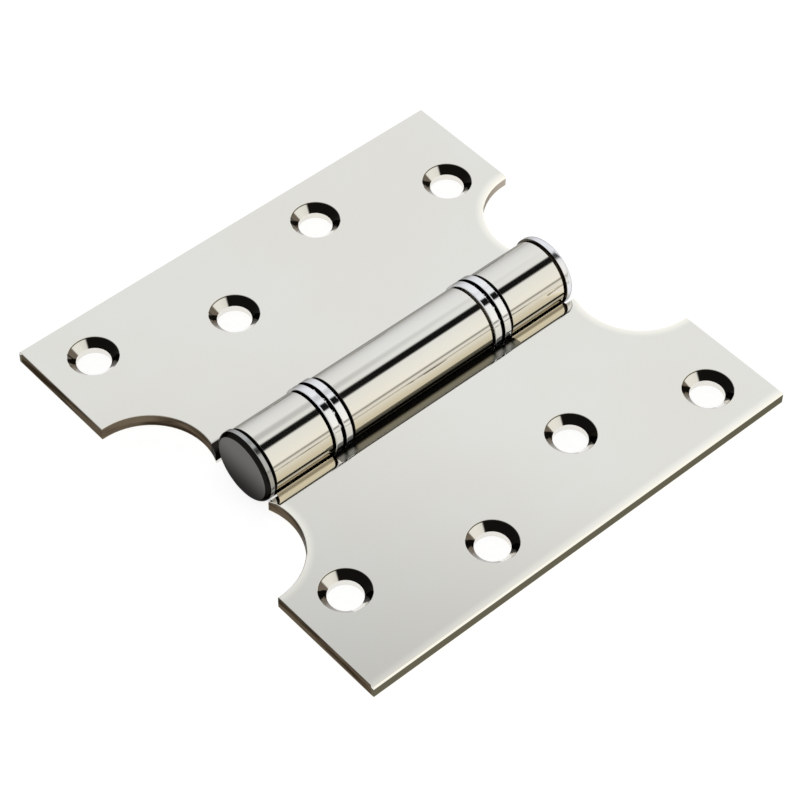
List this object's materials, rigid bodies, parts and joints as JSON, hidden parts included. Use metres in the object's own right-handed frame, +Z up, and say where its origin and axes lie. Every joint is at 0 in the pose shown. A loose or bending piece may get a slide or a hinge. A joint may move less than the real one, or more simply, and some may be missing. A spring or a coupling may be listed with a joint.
{
  "type": "parliament hinge",
  "caption": "Parliament hinge lying open: H-shaped steel leaves with staggered countersunk holes, rolled knuckles, ball bearing rings and flat end caps.",
  "frame": {"origin": "middle of the pin's axis", "axes": "+X across to the right leaf, +Y along the pin to the far cap, +Z up from the countersunk faces"},
  "size_m": [0.102, 0.102, 0.0148],
  "materials": {
    "leaf_steel": "polished stainless sheet",
    "race_steel": "bright turned steel",
    "cap_steel": "satin turned steel",
    "pin_steel": "drawn steel rod",
    "ball_steel": "polished hardened steel"
  },
  "bodies": {
    "fixed_leaf": {"right_leaf": "leaf_steel", "hinge_pin": "pin_steel", "near_cap": "cap_steel", "far_cap": "cap_steel", "near_outer_race": "race_steel", "far_outer_race": "race_steel"},
    "swing_leaf": {"left_leaf": "leaf_steel", "near_inner_race": "race_steel", "far_inner_race": "race_steel"},
    "near_ball_ring": {"near_balls": "ball_steel"},
    "far_ball_ring": {"far_balls": "ball_steel"}
  },
  "joints": [
    {"name": "leaf_swing", "type": "hinge", "parent": "fixed_leaf", "child": "swing_leaf", "pos_m": [0, 0, 0], "axis": [0, 1, 0], "range_deg": [-100, 180]},
    {"name": "near_ball_orbit", "type": "hinge", "parent": "fixed_leaf", "child": "near_ball_ring", "pos_m": [0, 0, 0], "axis": [0, 1, 0], "range_deg": [-50, 90]},
    {"name": "far_ball_orbit", "type": "hinge", "parent": "fixed_leaf", "child": "far_ball_ring", "pos_m": [0, 0, 0], "axis": [0, 1, 0], "range_deg": [-50, 90]}
  ],
  "couplings": [
    {"joint": "near_ball_orbit", "follows": "leaf_swing", "ratio": 0.5},
    {"joint": "far_ball_orbit", "follows": "leaf_swing", "ratio": 0.5}
  ]
}
